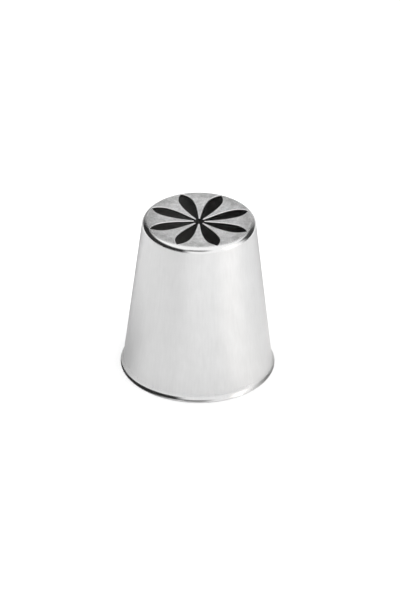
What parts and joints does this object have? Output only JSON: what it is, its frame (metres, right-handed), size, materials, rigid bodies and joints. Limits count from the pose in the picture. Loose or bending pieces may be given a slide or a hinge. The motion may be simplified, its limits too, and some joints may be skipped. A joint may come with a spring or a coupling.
{
  "type": "piping nozzle",
  "caption": "Conical stainless steel piping nozzle with a lip round its wide mouth and a slightly sunk end cut through with a flower of petals, for piping a whole cream flower at once.",
  "frame": {"origin": "centre of the ring that the nozzle stands on, at the level of the table", "axes": "+Z along the nozzle's axis from its wide mouth to its cut end; +X and +Y each point midway between two petals"},
  "size_m": [0.0374, 0.0374, 0.04],
  "materials": {
    "wall_steel": "satin polish",
    "face_steel": "fine matt grain with bright cut edges"
  },
  "bodies": {
    "root": {"cone_wall": "wall_steel", "petal_face": "face_steel"}
  },
  "joints": []
}
